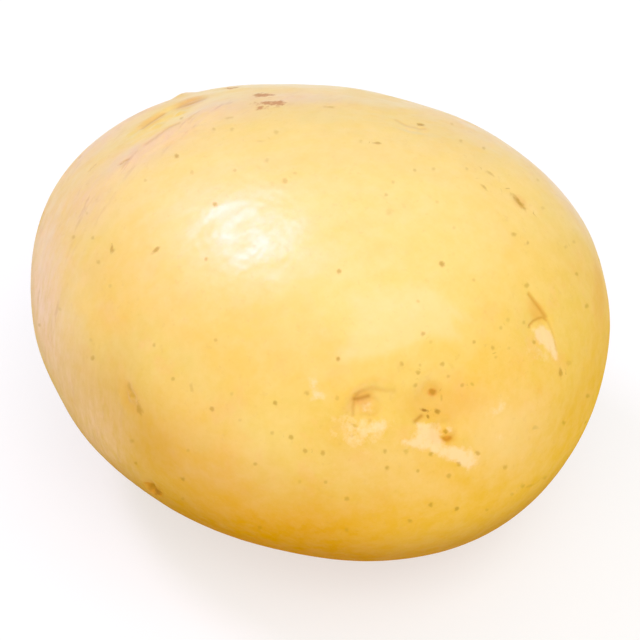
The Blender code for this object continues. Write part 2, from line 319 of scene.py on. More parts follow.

# Painted highlights: pale glints on the walls of the eyes' hollows, laid on as pale skin beside the eyes
PHOTO_PALE_GLINTS = (
    Patch(
        (
            (417, 424), (438, 425), (441, 437), (445, 444), (457, 447), (469, 449), (477, 456), (476, 467),
            (469, 470), (461, 464), (447, 460), (432, 452), (417, 447), (405, 447), (403, 440), (416, 438),
        ),
        10.0,
        0.9,
    ),
    Patch(((445, 426), (453, 427), (454, 434), (446, 431)), 4.0, 0.6),
    Patch(((369, 421), (384, 419), (388, 427), (384, 437), (374, 438), (366, 432)), 8.0, 0.68),
    Patch(
        ((333, 416), (352, 412), (372, 418), (392, 424), (388, 440), (370, 449), (345, 447), (332, 434)),
        16.0,
        0.40,
    ),
    Patch(((340, 420), (356, 423), (368, 425), (372, 436), (362, 446), (348, 441), (338, 430)), 9.0, 0.5),
    Patch(((361, 404), (371, 403), (373, 411), (363, 413)), 5.0, 0.5),
    Patch(((309, 377), (317, 376), (319, 389), (326, 392), (325, 400), (312, 399)), 7.0, 0.72),
    Patch(((488, 414), (499, 403), (508, 398), (508, 408), (499, 414), (491, 419)), 8.0, 0.55),
    Patch(((494, 436), (504, 434), (505, 441), (496, 443)), 4.0, 0.45),
    Patch(
        (
            (533, 330), (538, 327), (544, 327), (551, 331), (555, 340), (557, 350), (556, 361), (553, 359),
            (549, 351), (542, 345), (535, 339),
        ),
        6.0,
        0.9,
    ),
    Patch(((526, 340), (536, 345), (547, 353), (552, 364), (540, 362), (528, 353)), 6.0, 0.35),
)

# The right and lower edge of the painted highlight on the rise above the eyes
SHINE_RISE_EDGE = (
    (449, 304), (458, 308), (467, 318), (462, 322), (452, 315), (455, 327), (461, 338), (446, 338),
    (427, 336), (415, 346), (397, 350), (384, 356), (363, 359),
)

# Painted highlight: cream where the second softbox's reflection lies on that rise, and fainter cream on the
# ground beside and below the eyes
PHOTO_CREAM_AND_SHINE = (
    Patch(
        ((347, 296), (372, 292), (396, 287), (426, 287), (441, 295))
        + SHINE_RISE_EDGE
        + ((340, 359), (347, 338), (356, 321), (352, 308)),
        20.0,
        1.0,
    ),
    Patch(((396, 300),) + SHINE_RISE_EDGE + ((345, 359), (356, 335)), 8.0, 0.85),
    Patch(((455, 405), (500, 388), (544, 396), (552, 430), (532, 466), (490, 480), (465, 462)), 60.0, 0.9),
    Patch(((320, 446), (400, 425), (450, 470), (470, 500), (420, 510), (340, 490)), 50.0, 0.6),
)

# Lenticels on the sides that the photograph doesn't show
HIDDEN_SPECKS = 190
HIDDEN_SEED = 11
HIDDEN_SMALLEST = 0.22 * MM
HIDDEN_LARGEST = 0.40 * MM
HIDDEN_STRETCH = 1.9  # the most that one is longer than it is wide
HIDDEN_WEAKEST = 0.3
HIDDEN_FACING = 0.12  # skin that faces the camera more than this is in the photograph
SPECK_SPACING = 2.2 * MM

# Brown and corky skin that the photograph doesn't show: from which eye on, creases and buds, and the stem
# scar's ring and middle
FIRST_HIDDEN_EYE = 10
HIDDEN_CREASE_BROWN = 0.6
HIDDEN_BUD_BROWN = 0.35
SCAR_CORK = 0.9
SCAR_BROWN = 0.75
SCAR_NARROWING = 8  # how much narrower the brown middle is than the scar's hollow, as a power

# Fine relief: waves by their number, their shortest and longest lengths, and the seed they are drawn from
Waves = namedtuple("Waves", "count shortest longest seed")

WRINKLES = Waves(80, 1.2 * MM, 3.6 * MM, 31)
RIPPLES = Waves(60, 1.6 * MM, 4.5 * MM, 21)
RIPPLED_GROUND = Waves(12, 8.0 * MM, 20.0 * MM, 22)
DIMPLES = Waves(60, 0.9 * MM, 1.6 * MM, 23)
SCUFF_GRIT = Waves(50, 0.5 * MM, 1.4 * MM, 24)

WRINKLE_HEIGHT = 0.013 * MM
WRINKLE_LEAN = 17.0  # of the wrinkles' way in the photograph, in degrees from level
STREAK_SHARE = 0.55  # how far the wrinkles are drawn out along their own way
RIPPLE_HEIGHT = 0.014 * MM
RIPPLED_MIDDLE = 0.55  # how strong the ripples are: in the middle, how far that swings, and its limits
RIPPLED_SWING = 0.45
RIPPLED_LEAST = 0.1
RIPPLED_MOST = 1.5
DIMPLE_HEIGHT = 0.006 * MM
PIT_DEPTH = 0.05 * MM
PIT_WIDTH = 0.9  # in a lenticel's half sizes
SCUFF_HEIGHT = 0.09 * MM
SCUFF_EVEN_SHARE = 0.3  # of a scuff's height, what is even and not gritty
GLINT_HEIGHT = 0.02 * MM


def linear(red, green, blue):
    """A colour as seen on screen, from 0 to 255, in Blender's own linear values."""
    def one(value):
        share = value / 255
        return share / 12.92 if share <= 0.04045 else ((share + 0.055) / 1.055) ** 2.4
    return (one(red), one(green), one(blue), 1.0)


# Colours of the skin, and how strongly each covers what lies under it
Paint = namedtuple("Paint", "colour share", defaults=(1.0,))

YELLOW = linear(240, 201, 97)
WARM = Paint(linear(242, 196, 91))
LEMON = Paint(linear(236, 202, 99), 0.6)
ROSY = Paint(linear(244, 190, 104), 0.5)
# Painted shade: deeper, more orange tones that cover the lower part of the skin
LOW_SHADE_SHARE = 0.9
SHADED_LOW_TAN = linear(212, 166, 44)
SHADED_LOW_ORANGE = Paint(linear(222, 158, 12))
SHADED_LOW_YELLOW = Paint(linear(234, 182, 62))
# Painted shade underneath: brown over the skin near the floor
UNDER_SHADE_BROWN = Paint(linear(148, 88, 28), 0.56)
# Painted light: the top of the skin paler and creamier
TOP_LIGHT_CREAM = Paint(linear(250, 219, 138), 0.8)
# Painted sheen: the pale pink reflection along the rims
PAINTED_RIM_SHEEN = Paint(linear(243, 203, 167), 0.95)
# Painted light: the trough's lit wall, brighter yellow
LIT_TROUGH_YELLOW = Paint(linear(255, 214, 96), 0.8)
SCURF_BROWN = Paint(linear(202, 142, 88), 0.4)
# Partly painted highlight: cream where the second softbox's reflection lies above the eyes
CREAM_AND_SHINE = Paint(linear(250, 218, 156), 0.4)
# Stain colour of the buds, also used as painted shade in the hollows and along the right rim
STAIN_AND_SHADE_ORANGE = Paint(linear(224, 142, 36), 0.8)
# Painted highlights: pale glints on the walls of the eyes' hollows
PAINTED_GLINT = Paint(linear(252, 218, 166), 0.72)
SCUFF_BROWN = Paint(linear(202, 142, 88), 0.9)
LINE_BROWN = Paint(linear(200, 136, 28))
SPECK_BROWN = Paint(linear(180, 133, 28), 0.65)
PIT_BROWN = Paint(linear(170, 112, 38), 0.8)
STREAK_LEAST = 0.55  # between its streaks, the painted rim sheen keeps this share of its strength

# Noise: the size of its patches, its detail and roughness, the values that it fades in between, and how far
# it is stretched along X, Y and Z
Grain = namedtuple("Grain", "size detail roughness low high stretch", defaults=(0.3, 0.7, None))

WARM_GRAIN = Grain(22.0 * MM, 3.0, 0.5, 0.38, 0.66)
LEMON_GRAIN = Grain(13.0 * MM, 2.0, 0.5, 0.52, 0.72, (1.0, 1.0, 0.8))
ROSY_GRAIN = Grain(4.5 * MM, 4.0, 0.6, 0.50, 0.72)
HEIGHT_GRAIN = Grain(30.0 * MM, 2.0, 0.5)
STREAK_GRAIN = Grain(1.1 * MM, 4.0, 0.65, 0.3, 0.7, (1.0, 3.0, 3.0))
SCURF_GRAIN = Grain(1.0 * MM, 4.0, 0.6, 0.56, 0.70, (1.0, 5.0, 5.0))
MOTTLE_GRAIN = Grain(2.6 * MM, 6.0, 0.68, 0.28, 0.72)
CREAM_AND_SHINE_GRAIN = Grain(2.0 * MM, 5.0, 0.65)
GLINT_GRAIN = Grain(1.2 * MM, 5.0, 0.7)
SCUFF_GRAIN = Grain(0.9 * MM, 4.0, 0.65)
SPECK_GRAIN = Grain(0.6 * MM, 2.0, 0.5)
ROUGH_GRAIN = Grain(6.0 * MM, 4.0, 0.6)
COAT_GRAIN = Grain(4.0 * MM, 4.0, 0.62, 0.38, 0.62, (2.2, 1.0, 1.0))
BUMP_GRAIN = Grain(0.7 * MM, 3.0, 0.6)
BUMP_STRENGTH = 0.25
BUMP_HEIGHT = 0.04 * MM

# How far a grain shifts a value each way
HEIGHT_SWING = 4.0 * MM
MOTTLE_SWING = 0.031
MOTTLE_VALUE_SHARE = 0.6  # of the change in saturation, what the brightness changes
CREAM_AND_SHINE_SWING = 0.10
GLINT_SWING = 0.26
SCUFF_SWING = 0.32
SPECK_SWING = 0.25

# Where a change begins and where it is full: in metres up the potato
# Painted shade low down and underneath, and painted light at the top
LOW_SHADE_SPAN = (0.042, 0.026)
UNDER_SHADE_SPAN = (0.027, 0.014)
TOP_LIGHT_SPAN = (0.038, 0.060)
SHINE_SPAN = (0.022, 0.044)

# The same in metres along the potato, from the middle towards the rose end
LOW_SHADE_SHIFT_SPAN = (0.002, 0.022)
LOW_SHADE_SHIFT = 1.5 * MM  # how much higher the painted low shade begins towards the rose end
# Where the painted low shade turns from tan to orange, then to yellow towards the rose end
SHADED_ORANGE_SPAN = (-0.014, 0.014)
SHADED_YELLOW_SPAN = (0.020, 0.036)
ROSE_SHINE_SPAN = (0.040, 0.012)
STEM_SHINE_SPAN = (-0.040, -0.022)

# The same in a mark's own strength, and for lenticels in their half sizes
CREAM_AND_SHINE_SPAN = (0.05, 1.0)
GLINT_SPAN = (0.15, 0.90)
SCUFF_SPAN = (0.2, 0.8)
SPECK_SPAN = (1.4, 0.25)
PIT_SPAN = (1.0, 1.5)

# Gloss
SHINE_POWER = 1.5
ROSE_SHINE = 0.05
STEM_SHINE = 0.3
SPECULAR_LEVEL = 0.5
LEAST_ROUGH = 0.34
MOST_ROUGH = 0.46
MATT_ROUGHNESS = 0.25  # what lenticels and scuffs add
MATT_SHARE = 0.85  # how much of the coat they take
LEAST_COAT = 0.2

# What is the same all over the skin
EVEN_SKIN = {
    "Coat Roughness": 0.39,
    "Coat IOR": 1.5,
    "IOR": 1.45,
    "Subsurface Weight": 0.25,
    "Subsurface Radius": (1.0, 0.55, 0.2),
    "Subsurface Scale": 2.0 * MM,
}

# The places of the colour sockets on Blender's Mix node
MIX_FIRST = 6
MIX_SECOND = 7
MIX_RESULT = 2

# The studio
WHITE_LIGHT = (1.0, 1.0, 1.0)
COOL_LIGHT = (0.84, 0.77, 1.0)
GLOSS_LIGHT = (0.50, 0.41, 1.0)
WORLD_STRENGTH = 0.46
FLOOR_SIDE = 6.0
FLOOR_DROP = 0.02 * MM
EVEN_FLOOR = {
    "Base Color": (0.42, 0.42, 0.42, 1.0),
    "Roughness": 0.8,
    "Emission Color": (1.0, 1.0, 1.0, 1.0),
    "Emission Strength": 0.58,
}
NEAR_CLIP = 0.01

# A lamp stands on a way from the middle of the potato, or where the skin mirrors it at a pixel. Then come
# its distance, width and height in metres, its power in watts, its colour, and the rays that don't see it.
Lamp = namedtuple("Lamp", "name place distance width height power colour unseen")

LAMPS = (
    Lamp("key_softbox", (243, 240), 0.9, 0.24, 0.18, 2.2, COOL_LIGHT, "glossy"),
    Lamp("key_shine", (251, 240), 0.9, 0.23, 0.13, 4.8, GLOSS_LIGHT, "diffuse"),
    Lamp("key_veil", (250, 246), 0.9, 0.68, 0.62, 1.85, GLOSS_LIGHT, "diffuse"),
    Lamp("back_fill", (0.1, 0.75, 0.85), 1.5, 1.2, 0.8, 2.2, WHITE_LIGHT, "glossy"),
    Lamp("second_softbox", (405, 322), 1.0, 0.84, 0.54, 2.7, WHITE_LIGHT, "none"),
    Lamp("front_fill", (0.35, -0.62, 0.70), 1.5, 1.4, 1.1, 8.5, WHITE_LIGHT, "glossy"),
)


def unit(vectors):
    return vectors / np.linalg.norm(vectors, axis=-1, keepdims=True)


def direction(longitude, latitude):
    around, up = math.radians(longitude), math.radians(latitude)
    return np.array([math.cos(up) * math.cos(around), math.cos(up) * math.sin(around), math.sin(up)])


def bell(distance, width):
    return np.exp(-((distance / width) ** 2))


def wave_sum(points, count, shortest, longest, seed, along=None):
    """Even, seeded waves over the points, with a mean square of a half.

    Where a way along the skin is given, the ridges are drawn out that way.
    """
    draw = np.random.RandomState(seed)
    ways = unit(draw.normal(size=(count, 3)))
    if along is not None:
        ways = unit(ways - STREAK_SHARE * (ways @ along)[:, None] * along)
    lengths = draw.uniform(shortest, longest, count)
    starts = draw.uniform(0, 2 * math.pi, count)
    waves = np.cos(points @ (2 * math.pi * ways / lengths[:, None]).T + starts)
    return waves.sum(axis=1) / math.sqrt(count)


def smooth_body(directions):
    """The body without its eyes, as (points, outward directions), for an array of unit directions."""
    half = np.array([LENGTH, WIDTH, THICKNESS]) / 2
    reach = (np.abs(directions) ** FULLNESS).sum(axis=1) ** (-1 / FULLNESS)
    girth = 1 + TAPER * directions[:, 0]
    points = directions * half * reach[:, None]
    points[:, 1] *= girth
    points[:, 2] *= girth
    outward = unit(points / half**2)
    for swell in SWELLS:
        middle = direction(swell.longitude, swell.latitude)
        angle = np.degrees(np.arccos(np.clip(directions @ middle, -1, 1)))
        points += outward * (swell.height * MM * bell(angle, swell.spread))[:, None]
    return points, outward


def body_spot(way):
    points, outward = smooth_body(way[None])
    return points[0], outward[0]


def skin_axes(longitude, latitude, turn=0.0):
    """A spot on the skin: its place, its way outward, and its ways across and towards the rose end."""
    middle, outward = body_spot(direction(longitude, latitude))
    to_rose = unit(np.array([1.0, 0.0, 0.0]) - outward * outward[0])
    sideways = np.cross(outward, to_rose)
    spin = math.radians(turn)
    along_axis = math.cos(spin) * to_rose + math.sin(spin) * sideways
    across_axis = math.cos(spin) * sideways - math.sin(spin) * to_rose
    return middle, outward, across_axis, along_axis


def places_round(points, longitude, latitude, turn=0.0):
    """Each point's place on the skin round a spot, as (across, towards the rose end).

    Points on other sides of the potato come out far off.
    """
    middle, outward, across_axis, along_axis = skin_axes(longitude, latitude, turn)
    offset = points - middle
    far_side = offset @ outward < -FAR_DEPTH
    across = np.where(far_side, LENGTH, offset @ across_axis)
    along = np.where(far_side, LENGTH, offset @ along_axis)
    return across, along


def eye_forms(points, eye):
    """How far each point lies in an eye's hollow, on its lip and in its crease, each from 0 to 1."""
    across, along = places_round(points, eye.longitude, eye.latitude, eye.turn)
    across_share, along_share = across / (eye.across * MM), along / (eye.along * MM)
    share = np.hypot(across_share, along_share)
    distance = np.hypot(across, along)
    past_brow = distance - distance / np.maximum(share, 0.01)
    from_stem_side = np.degrees(np.arctan2(np.abs(across_share), -along_share))
    reach = np.exp(-((from_stem_side / BROW_HALF_ANGLE) ** 4))
    lip = reach * bell(past_brow - LIP_WIDTH, LIP_WIDTH)
    crease = reach * bell(past_brow + CREASE_WIDTH / 2, CREASE_WIDTH)
    return bell(share, 1.0), lip, crease


def eye_height(points, eye):
    hollow, lip, crease = eye_forms(points, eye)
    return MM * (eye.lip * lip - eye.crease * crease - eye.depth * hollow)


def distance_from_bud(points, bud):
    eye = EYES[bud.eye]
    across, along = places_round(points, eye.longitude, eye.latitude, eye.turn)
    return np.hypot(across - bud.across * MM, along - bud.along * MM)


def bud_height(points, bud):
    from_bud = distance_from_bud(points, bud)
    radius = bud.radius * MM
    dome = bell(from_bud, DOME_WIDTH * radius)
    groove = GROOVE_SHARE * bell(from_bud - GROOVE_PLACE * radius, GROOVE_WIDTH * radius)
    return bud.height * MM * (dome - groove)


def fold_height(points, fold):
    across, along = places_round(points, fold.longitude, fold.latitude, fold.turn)
    taper = np.exp(-((across / (fold.half_length * MM)) ** 4))
    return fold.height * MM * taper * bell(along, fold.width * MM)


def scar_forms(points):
    """How far each point lies in the stem scar's hollow and on its ring, each from 0 to 1."""
    across, along = places_round(points, SCAR_LONGITUDE, SCAR_LATITUDE)
    from_middle = np.hypot(across, along)
    return bell(from_middle, SCAR_HOLLOW), bell(from_middle - SCAR_RING_RADIUS, SCAR_RING_WIDTH)


def scar_height(points):
    hollow, ring = scar_forms(points)
    return SCAR_RING_HEIGHT * ring - SCAR_DEPTH * hollow


def main_relief(points):
    """The relief that the solid has too."""
    waves = wave_sum(points, UNEVEN_WAVES, UNEVEN_SHORTEST, UNEVEN_LONGEST, UNEVEN_SEED)
    height = UNEVEN_HEIGHT * waves + scar_height(points)
    for eye in EYES:
        height += eye_height(points, eye)
    for bud in BUDS:
        height += bud_height(points, bud)
    for fold in FOLDS:
        height += fold_height(points, fold)
    return height


def fine_sphere():
    shape = bmesh.new()
    bmesh.ops.create_icosphere(shape, subdivisions=FINE_SUBDIVISIONS, radius=1.0)
    return shape


def corner_directions(shape):
    return unit(np.array([vertex.co for vertex in shape.verts]))


def tree_of(places):
    tree = KDTree(len(places))
    for index, place in enumerate(places):
        tree.insert(Vector(place), index)
    tree.balance()
    return tree


class PhotoCamera:
    """The photograph's camera in the body's own frame, to find what its pixels show."""

    def __init__(self):
        turn, tilt = math.radians(CAMERA_AZIMUTH), math.radians(CAMERA_ELEVATION)
        self.back = np.array(
            [math.sin(turn) * math.cos(tilt), -math.cos(turn) * math.cos(tilt), math.sin(tilt)]
        )
        self.right = np.array([math.cos(turn), math.sin(turn), 0.0])
        self.up = np.cross(self.back, self.right)
        target = self.right * CAMERA_ASIDE + self.up * CAMERA_RAISED
        self.place = target + self.back * CAMERA_DISTANCE
        shape = fine_sphere()
        points, outward = smooth_body(corner_directions(shape))
        faces = [[vertex.index for vertex in face.verts] for face in shape.faces]
        shape.free()
        shown = points + outward * main_relief(points)[:, None]
        self.smooth = BVHTree.FromPolygons([Vector(point) for point in points], faces)
        self.skin = BVHTree.FromPolygons([Vector(point) for point in shown], faces)

    def ray(self, x, y):
        scale = SENSOR / LENS / IMAGE_SIDE
        middle = IMAGE_SIDE / 2
        return unit((x - middle) * scale * self.right - (y - middle) * scale * self.up - self.back)

    def cast(self, x, y):
        """The place on the smooth body, and its outward direction, of what a pixel shows.

        Past the rim it is the nearest place to the pixel.
        """
        hit, _, _, _ = self.skin.ray_cast(Vector(self.place), Vector(self.ray(x, y)))
        if hit is None:
            hit = Vector(self.place + self.ray(x, y) * CAMERA_DISTANCE)
        place, outward, _, _ = self.smooth.find_nearest(hit)
        return np.array(place), np.array(outward)

    def pixels(self, points):
        """The pixels that show the points, as (x, y)."""
        offset = points - self.place
        scale = IMAGE_SIDE * LENS / SENSOR / -(offset @ self.back)
        return IMAGE_SIDE / 2 + scale * (offset @ self.right), IMAGE_SIDE / 2 - scale * (offset @ self.up)

    def pixel_size(self, point):
        return SENSOR / LENS / IMAGE_SIDE * float((self.place - point) @ self.back)


camera_view = PhotoCamera()

# A mark is an oval on the skin: its middle, its two half axes, and its strength
Mark = namedtuple("Mark", "middle long_axis short_axis strength")


def oval_mark(x, y, half_width, half_height, lean, strength):
    """An oval of the photograph's own frame, laid on the skin."""
    middle, outward = camera_view.cast(x, y)
    size = camera_view.pixel_size(middle)
    cosine, sine = math.cos(math.radians(lean)), math.sin(math.radians(lean))
    halves = ((cosine * half_width, sine * half_width), (-sine * half_height, cosine * half_height))
    axes = []
    for right_pixels, up_pixels in halves:
        axis = (right_pixels * camera_view.right + up_pixels * camera_view.up) * size
        # Moved along the view until it lies in the skin's own plane
        depth = -(axis @ outward) / max(float(camera_view.back @ outward), LEAST_FACING)
        axes.append(axis + depth * camera_view.back)
    return Mark(middle, axes[0], axes[1], strength)


def round_mark(x, y, size, strength):
    return oval_mark(x, y, size / 2, size / 2, 0, strength)


def long_mark(x_1, y_1, x_2, y_2, width, strength):
    half_length = math.hypot(x_2 - x_1, y_2 - y_1) / 2 + width / 4
    lean = math.degrees(math.atan2(y_1 - y_2, x_2 - x_1))
    return oval_mark((x_1 + x_2) / 2, (y_1 + y_2) / 2, half_length, width / 2, lean, strength)


def hidden_marks():
    """Seeded lenticels on the sides that the photograph doesn't show."""
    draw = np.random.RandomState(HIDDEN_SEED)
    marks = []
    while len(marks) < HIDDEN_SPECKS:
        middle, outward = body_spot(unit(draw.normal(size=3)))
        radius = draw.uniform(HIDDEN_SMALLEST, HIDDEN_LARGEST)
        stretch = draw.uniform(1.0, HIDDEN_STRETCH)
        strength = draw.uniform(HIDDEN_WEAKEST, 1.0)
        around = unit(draw.normal(size=3))
        if unit(camera_view.place - middle) @ outward > HIDDEN_FACING:
            continue
        if any(np.linalg.norm(mark.middle - middle) < SPECK_SPACING for mark in marks):
            continue
        sideways = unit(np.cross(outward, around))
        long_axis = sideways * radius * stretch
        short_axis = np.cross(outward, sideways) * radius
        marks.append(Mark(middle, long_axis, short_axis, strength))
    return marks


def all_specks():
    marks = [round_mark(*speck) for speck in PHOTO_SPECKS]
    marks += [long_mark(*dash) for dash in PHOTO_DASHES]
    return marks + hidden_marks()


def in_axes(mark):
    """The matrix that turns an offset from a mark's middle into shares of its two half axes."""
    return np.linalg.pinv(np.stack([mark.long_axis, mark.short_axis], axis=1))


def mark_offsets(points, marks):
    """Each point's offset from its nearest mark, in that mark's half axes, and a strength that fades out."""
    middles = np.array([mark.middle for mark in marks])
    tree = tree_of(middles)
    nearest = np.array([tree.find(Vector(point))[1] for point in points])
    strengths = np.array([mark.strength for mark in marks])[nearest]
    to_axes = np.array([in_axes(mark) for mark in marks])[nearest]
    u, v = np.einsum("nij,nj->in", to_axes, points - middles[nearest])
    fade = np.clip(SPECK_FADE - np.hypot(u, v), 0, 1)
    return u, v, strengths * fade


def oval_cover(points, ovals, edge=OVAL_EDGE):
    """How far each point lies under any of the ovals: 1 in the middle of a full one, 0 away from all."""
    cover = np.zeros(len(points))
    for mark in [oval_mark(*oval) for oval in ovals]:
        offset = points - mark.middle
        outward = unit(np.cross(mark.long_axis, mark.short_axis))
        height = offset @ outward
        offset = offset - height[:, None] * outward
        places = offset @ in_axes(mark).T
        share = np.hypot(places[:, 0], places[:, 1])
        near = np.abs(height) < OVAL_DEPTH
        cover = np.maximum(cover, mark.strength * near * np.exp(-(share**edge)))
    return cover


def distance_to_outline(x, y, corners):
    """How far each pixel lies inside a closed outline, and below 0 outside it."""
    inside = np.zeros(len(x), bool)
    distance = np.full(len(x), float(IMAGE_SIDE))
    for first, last in zip(corners, corners[1:] + corners[:1]):
        along_x, along_y = last[0] - first[0], last[1] - first[1]
        if along_y:
            passed = x < first[0] + along_x * (y - first[1]) / along_y
            inside ^= passed & ((first[1] > y) != (last[1] > y))
        share = ((x - first[0]) * along_x + (y - first[1]) * along_y) / (along_x**2 + along_y**2)
        share = np.clip(share, 0, 1)
        gap = np.hypot(x - first[0] - share * along_x, y - first[1] - share * along_y)
        distance = np.minimum(distance, gap)
    return np.where(inside, distance, -distance)


def patch_cover(points, outward, patches):
    """How far each point lies in any of the patches: 1 well inside a full one, 0 outside all."""
    x, y = camera_view.pixels(points)
    seen = (outward * (camera_view.place - points)).sum(axis=1) > 0
    cover = np.zeros(len(points))
    for patch in patches:
        depth = distance_to_outline(x, y, patch.corners) / patch.edge
        cover = np.maximum(cover, patch.strength * np.clip(0.5 + depth, 0, 1))
    return cover * seen


def distance_to_line(points, corners):
    nearest = np.full(len(points), LENGTH)
    for first, last in zip(corners[:-1], corners[1:]):
        along = last - first
        share = np.clip((points - first) @ along / (along @ along), 0, 1)
        nearest = np.minimum(nearest, np.linalg.norm(points - first - share[:, None] * along, axis=1))
    return nearest


def line_corners(line):
    return [camera_view.cast(x, y)[0] for x, y in line.points]


def line_relief(points):
    """The grooves of the lines at the eyes, as (height, brown)."""
    height = np.zeros(len(points))
    brown = np.zeros(len(points))
    for line in PHOTO_LINES:
        corners = line_corners(line)
        width = line.width / 2 * camera_view.pixel_size(corners[0])
        cover = bell(distance_to_line(points, corners), width)
        height -= line.depth * MM * cover
        brown = np.maximum(brown, line.brown * cover)
    return height, brown


def hidden_brown(points):
    """How brown the skin is in the eyes and the scar that the photograph doesn't show."""
    hollow, ring = scar_forms(points)
    brown = SCAR_BROWN * hollow**SCAR_NARROWING * (1 - ring)
    for eye in EYES[FIRST_HIDDEN_EYE:]:
        _, _, crease = eye_forms(points, eye)
        brown = np.maximum(brown, HIDDEN_CREASE_BROWN * crease)
    for bud in BUDS:
        if bud.eye >= FIRST_HIDDEN_EYE:
            cover = bell(distance_from_bud(points, bud), bud.radius * MM)
            brown = np.maximum(brown, HIDDEN_BUD_BROWN * cover)
    return brown


def wrinkle_way():
    lean = math.radians(WRINKLE_LEAN)
    return math.cos(lean) * camera_view.right + math.sin(lean) * camera_view.up


def refine(shape, centres, reach):
    """Splits into four the faces that lie within reach of the centres."""
    points, _ = smooth_body(corner_directions(shape))
    tree = tree_of(centres)
    near = [tree.find(Vector(point))[2] < reach for point in points]
    shape.verts.index_update()
    edges = [edge for edge in shape.edges if near[edge.verts[0].index] or near[edge.verts[1].index]]
    bmesh.ops.subdivide_edges(shape, edges=edges, cuts=1, use_grid_fill=True)
    bmesh.ops.triangulate(shape, faces=shape.faces[:])


def disc_places(count):
    """Even places over a disc, as shares of its half sizes."""
    steps = np.linspace(-1, 1, count)
    return [(across, up) for across in steps for up in steps if math.hypot(across, up) <= 1]


def eye_points():
    """Points on the skin that cover each eye's own ground."""
    points = []
    for eye in EYES:
        middle, _, across_axis, along_axis = skin_axes(eye.longitude, eye.latitude, eye.turn)
        for across, along in disc_places(EYE_STEPS):
            aside = across_axis * across * eye.across * MM * EYE_SPREAD
            points.append(middle + aside + along_axis * along * eye.along * MM * EYE_SPREAD)
    return points


def zone_points(zone):
    """Points on the skin that cover an oval of the photograph."""
    x, y, half_width, half_height = zone[:4]
    places = disc_places(ZONE_STEPS)
    return [camera_view.cast(x + half_width * across, y + half_height * up)[0] for across, up in places]


def line_points():
    """Points along the lines at the eyes."""
    points = []
    for line in PHOTO_LINES:
        corners = line_corners(line)
        for first, last in zip(corners[:-1], corners[1:]):
            points += [first + (last - first) * share for share in np.linspace(0, 1, LINE_STEPS)]
    return points


def refine_skin(shape, specks):
    upper_shine, lower_shine = [zone_points(zone) for zone in PHOTO_WRINKLES]
    scar_middle, _, _, _ = skin_axes(SCAR_LONGITUDE, SCAR_LATITUDE)
    refine(shape, lower_shine, SHINE_REACH)
    refine(shape, upper_shine, SHINE_REACH)
    refine(shape, upper_shine, CLOSE_SHINE_REACH)
    refine(shape, [mark.middle for mark in specks], SPECK_REACH)
    refine(shape, eye_points(), EYE_REACH)
    refine(shape, [scar_middle], SCAR_HOLLOW)
    refine(shape, line_points(), LINE_REACH)
    for zone in PHOTO_FINE_ZONES:
        refine(shape, zone_points(zone), FINE_ZONE_REACH)


def add_attribute(mesh, name, values):
    kind = "FLOAT" if values.ndim == 1 else "FLOAT_VECTOR"
    attribute = mesh.attributes.new(name, kind, "POINT")
    field = "value" if values.ndim == 1 else "vector"
    attribute.data.foreach_set(field, np.ascontiguousarray(values, np.float32).ravel())


def part_origin(shape):
    """Where the part's origin lies in the body's own frame: under its middle, at the flat spot's height."""
    points, outward = smooth_body(corner_directions(shape))
    points += outward * main_relief(points)[:, None]
    low, high = points.min(axis=0), points.max(axis=0)
    return np.array([(low[0] + high[0]) / 2, (low[1] + high[1]) / 2, low[2] + REST_DEPTH])


def skin_marks(points, outward, shown, specks, line_brown):
    """What marks each point, and how strongly, under the names that the material reads."""
    _, scar_ring = scar_forms(points)
    lit_trough = oval_cover(points, PHOTO_LIT_TROUGH)
    return {
        "speck": np.stack(mark_offsets(points, specks), axis=1),
        "brown": np.maximum(line_brown, hidden_brown(points)),
        "scuff": np.maximum(oval_cover(points, PHOTO_SCUFFS, SCUFF_EDGE), SCAR_CORK * scar_ring),
        # Stains round buds, with painted shade in the hollows and along the right rim
        "stain_and_shade": oval_cover(points, PHOTO_STAINS_AND_SHADE),
        # Painted highlights on the walls of the eyes' hollows
        "pale_glint": patch_cover(shown, outward, PHOTO_PALE_GLINTS),
        # Painted rim sheen, left out on the trough's painted lit wall
        "rim_sheen": oval_cover(points, PHOTO_RIM_SHEEN, RIM_SHEEN_EDGE) * (1 - lit_trough),
        # Painted highlight above the eyes, and paler cream ground below them
        "cream_and_shine": patch_cover(shown, outward, PHOTO_CREAM_AND_SHINE),
        # Painted light on the trough's wall
        "lit_trough": lit_trough,
    }


def fine_relief(points, marks):
    """The relief that the solid doesn't have, without the lines at the eyes."""
    ripples = wave_sum(points, *RIPPLES)
    rippled = RIPPLED_MIDDLE + RIPPLED_SWING * wave_sum(points, *RIPPLED_GROUND)
    grit = SCUFF_EVEN_SHARE + (1 - SCUFF_EVEN_SHARE) * wave_sum(points, *SCUFF_GRIT)
    u, v, strength = marks["speck"].T
    height = WRINKLE_HEIGHT * oval_cover(points, PHOTO_WRINKLES) * wave_sum(points, *WRINKLES, wrinkle_way())
    height += RIPPLE_HEIGHT * ripples * np.clip(rippled, RIPPLED_LEAST, RIPPLED_MOST)
    height += DIMPLE_HEIGHT * wave_sum(points, *DIMPLES)
    height -= PIT_DEPTH * strength * bell(np.hypot(u, v), PIT_WIDTH)
    height += SCUFF_HEIGHT * marks["scuff"] * grit
    height += GLINT_HEIGHT * marks["pale_glint"] * ripples
    return height


def fit_to_box(points, box):
    low, high = points.min(axis=0), points.max(axis=0)
    box_low, box_high = np.array(box[0]), np.array(box[1])
    return box_low + (points - low) * (box_high - box_low) / (high - low)


def add_object(name, data):
    thing = bpy.data.objects.new(name, data)
    bpy.context.scene.collection.objects.link(thing)
    return thing


